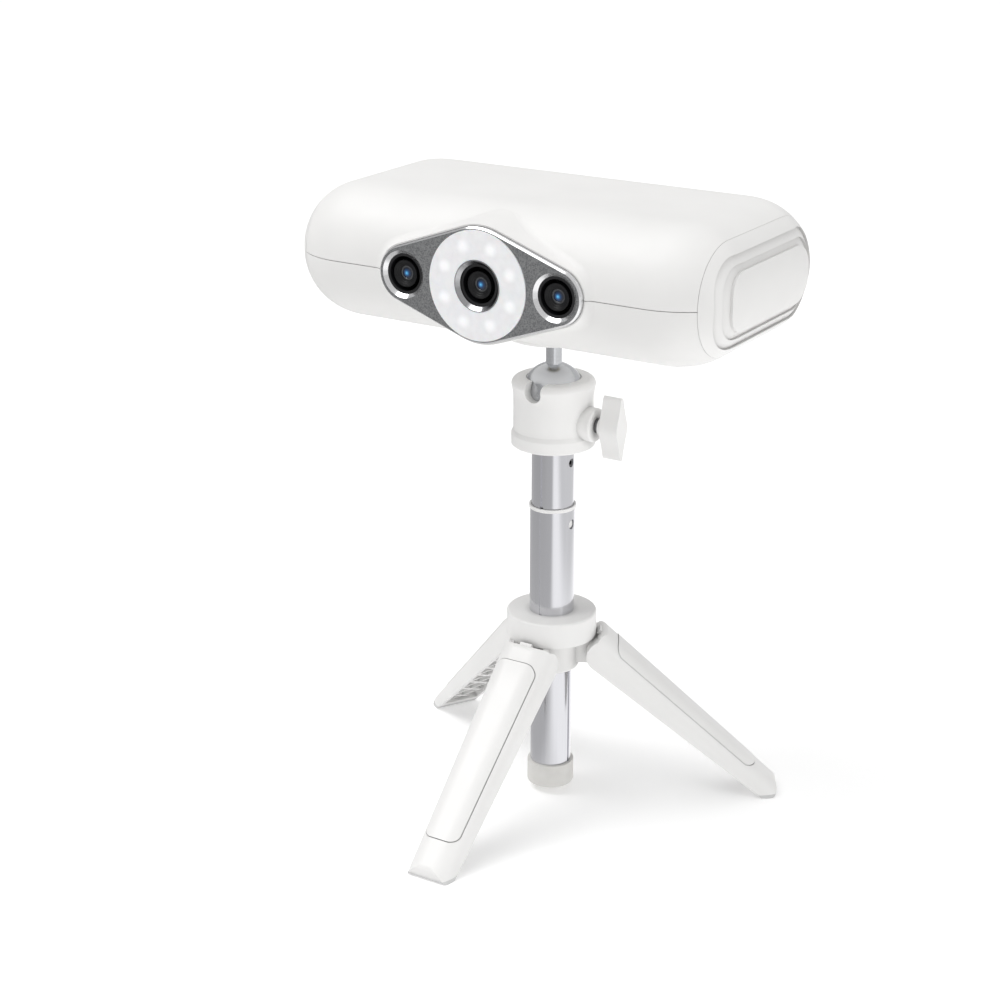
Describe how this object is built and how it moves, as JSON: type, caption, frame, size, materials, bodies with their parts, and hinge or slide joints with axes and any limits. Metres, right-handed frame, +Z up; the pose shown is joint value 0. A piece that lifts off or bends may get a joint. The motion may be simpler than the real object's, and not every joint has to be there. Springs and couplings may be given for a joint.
{
  "type": "handheld 3d scanner on mini tripod",
  "caption": "White pillow-shaped structured-light scanner with cameras and a ring light in a front plate, on a ball head, extendable column and folding tripod legs.",
  "frame": {"origin": "the tripod's centre line, on the surface that its feet stand on", "axes": "+Z up along the column, +X along the scanner's length to its right as seen from the front, -Y the way the cameras look"},
  "size_m": [0.155, 0.1227, 0.2092],
  "materials": {
    "shell_white": "satin moulded plastic, warm white",
    "plate_grey": "bead-blasted face, polished edges",
    "diffuser": "milky translucent plastic",
    "circuit": "solder-masked board",
    "led": "white chip",
    "bezel": "polished ring",
    "lens_black": "black anodised finish",
    "lens_glass": "coated glass, blue cast",
    "bench_metal": "plain milled",
    "port_metal": "plain",
    "port_black": "plain",
    "screw_steel": "plain",
    "brass": "plain turned",
    "ball_steel": "satin turned",
    "tripod_white": "satin moulded plastic, white",
    "tube_silver": "polished silver anodised",
    "cup_nylon": "natural nylon",
    "dark_steel": "blackened",
    "cap_grey": "light grey rubber",
    "sole_grey": "light grey rubber"
  },
  "bodies": {
    "tripod_base": {"hub": "tripod_white", "lower_tube": "tube_silver", "column_cap": "cap_grey", "outer_tube": "tube_silver", "tube_collar": "tripod_white", "leg_pins": "screw_steel"},
    "leg_front": {"leg_front": "tripod_white", "leg_inlay_front": "tripod_white", "leg_sole_front": "sole_grey"},
    "leg_right": {"leg_right": "tripod_white", "leg_inlay_right": "tripod_white", "leg_sole_right": "sole_grey"},
    "leg_left": {"leg_left": "tripod_white", "leg_inlay_left": "tripod_white", "leg_sole_left": "sole_grey"},
    "column": {"inner_tube": "tube_silver", "set_screw": "dark_steel", "head_housing": "tripod_white"},
    "button": {"snap_button": "tripod_white"},
    "clamp": {"clamp_screw": "dark_steel", "clamp_knob": "tripod_white"},
    "cup": {"pressure_cup": "cup_nylon"},
    "ball": {"ball_stud": "ball_steel"},
    "scanner": {"top_shell": "shell_white", "bottom_shell": "shell_white", "end_cap_left": "shell_white", "end_cap_right": "shell_white", "mounting_pad": "shell_white", "front_plate": "plate_grey", "light_ring": "diffuser", "led_board": "circuit", "leds": "led", "centre_bezel": "bezel", "optical_bench": "bench_metal", "main_board": "circuit", "heat_sink": "bench_metal", "usb_socket": "port_metal", "power_jack": "port_black", "shell_screws": "screw_steel", "thread_insert": "brass", "left_lens_tube": "lens_black", "left_lens_barrel": "lens_black", "left_lens_glass": "lens_glass", "left_camera_module": "circuit", "centre_lens_tube": "lens_black", "centre_lens_barrel": "lens_black", "centre_lens_glass": "lens_glass", "centre_camera_module": "circuit", "right_lens_tube": "lens_black", "right_lens_barrel": "lens_black", "right_lens_glass": "lens_glass", "right_camera_module": "circuit"}
  },
  "joints": [
    {"name": "leg_front_fold", "type": "hinge", "parent": "tripod_base", "child": "leg_front", "pos_m": [0, -0.017, 0.0525], "axis": [1, 0, 0], "range_deg": [0, 47]},
    {"name": "leg_right_fold", "type": "hinge", "parent": "tripod_base", "child": "leg_right", "pos_m": [0.01472, 0.0085, 0.0525], "axis": [-0.5, 0.866, 0], "range_deg": [0, 47]},
    {"name": "leg_left_fold", "type": "hinge", "parent": "tripod_base", "child": "leg_left", "pos_m": [-0.01472, 0.0085, 0.0525], "axis": [-0.5, -0.866, 0], "range_deg": [0, 47]},
    {"name": "column_slide", "type": "slide", "parent": "tripod_base", "child": "column", "axis": [0, 0, 1], "range_m": [-0.0205, 0]},
    {"name": "button_press", "type": "slide", "parent": "column", "child": "button", "axis": [-1, 0, 0], "range_m": [0, 0.0006], "stiffness_N_per_m": 400},
    {"name": "clamp_turn", "type": "hinge", "parent": "column", "child": "clamp", "pos_m": [0.017, 0, 0.1338], "axis": [1, 0, 0], "range_deg": [-180, 180]},
    {"name": "ball_roll", "type": "hinge", "parent": "column", "child": "cup", "pos_m": [0, 0, 0.1424], "axis": [0, 1, 0], "range_deg": [-30, 30]},
    {"name": "ball_tilt", "type": "hinge", "parent": "cup", "child": "ball", "pos_m": [0, 0, 0.1424], "axis": [1, 0, 0], "range_deg": [-30, 35]},
    {"name": "scanner_pan", "type": "hinge", "parent": "ball", "child": "scanner", "pos_m": [0, 0, 0.165], "axis": [0, 0, 1], "range_deg": [-180, 180]}
  ]
}
